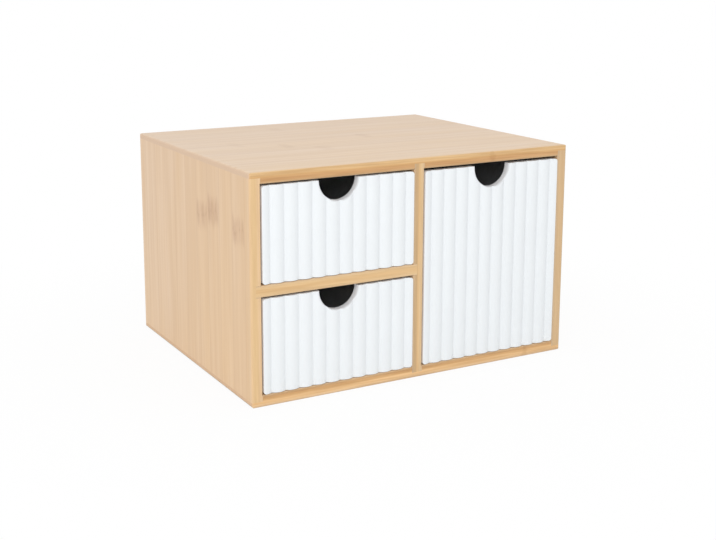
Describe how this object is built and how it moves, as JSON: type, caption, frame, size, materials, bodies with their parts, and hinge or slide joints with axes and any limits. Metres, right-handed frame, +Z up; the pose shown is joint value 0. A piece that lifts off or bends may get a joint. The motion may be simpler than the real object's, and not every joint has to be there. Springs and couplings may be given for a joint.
{
  "type": "desktop mini drawers",
  "caption": "Small bamboo desktop case with two stacked small drawers and one tall drawer, each with a white reeded front and a half-round thumb notch.",
  "frame": {"origin": "middle of the case's underside, on the surface it stands on", "axes": "X across the front with +X towards the tall drawer, -Y out of the front, +Z up"},
  "size_m": [0.26, 0.21, 0.16],
  "materials": {
    "bamboo": "pale laminated bamboo strips with a satin lacquer",
    "bamboo_inner": "laminated bamboo, satin lacquer",
    "white_front": "board with satin white paint over the ribs",
    "white_box": "board with matt white paint"
  },
  "bodies": {
    "case": {"top_panel": "bamboo", "bottom_panel": "bamboo", "left_side": "bamboo", "right_side": "bamboo", "divider": "bamboo_inner", "shelf": "bamboo_inner", "back_panel": "bamboo_inner"},
    "upper_drawer": {"upper_drawer_front": "white_front", "upper_drawer_left_wall": "white_box", "upper_drawer_right_wall": "white_box", "upper_drawer_back_wall": "white_box", "upper_drawer_floor": "white_box"},
    "lower_drawer": {"lower_drawer_front": "white_front", "lower_drawer_left_wall": "white_box", "lower_drawer_right_wall": "white_box", "lower_drawer_back_wall": "white_box", "lower_drawer_floor": "white_box"},
    "tall_drawer": {"tall_drawer_front": "white_front", "tall_drawer_left_wall": "white_box", "tall_drawer_right_wall": "white_box", "tall_drawer_back_wall": "white_box", "tall_drawer_floor": "white_box"}
  },
  "joints": [
    {"name": "upper_drawer_slide", "type": "slide", "parent": "case", "child": "upper_drawer", "axis": [0, -1, 0], "range_m": [0, 0.15]},
    {"name": "lower_drawer_slide", "type": "slide", "parent": "case", "child": "lower_drawer", "axis": [0, -1, 0], "range_m": [0, 0.15]},
    {"name": "tall_drawer_slide", "type": "slide", "parent": "case", "child": "tall_drawer", "axis": [0, -1, 0], "range_m": [0, 0.15]}
  ]
}
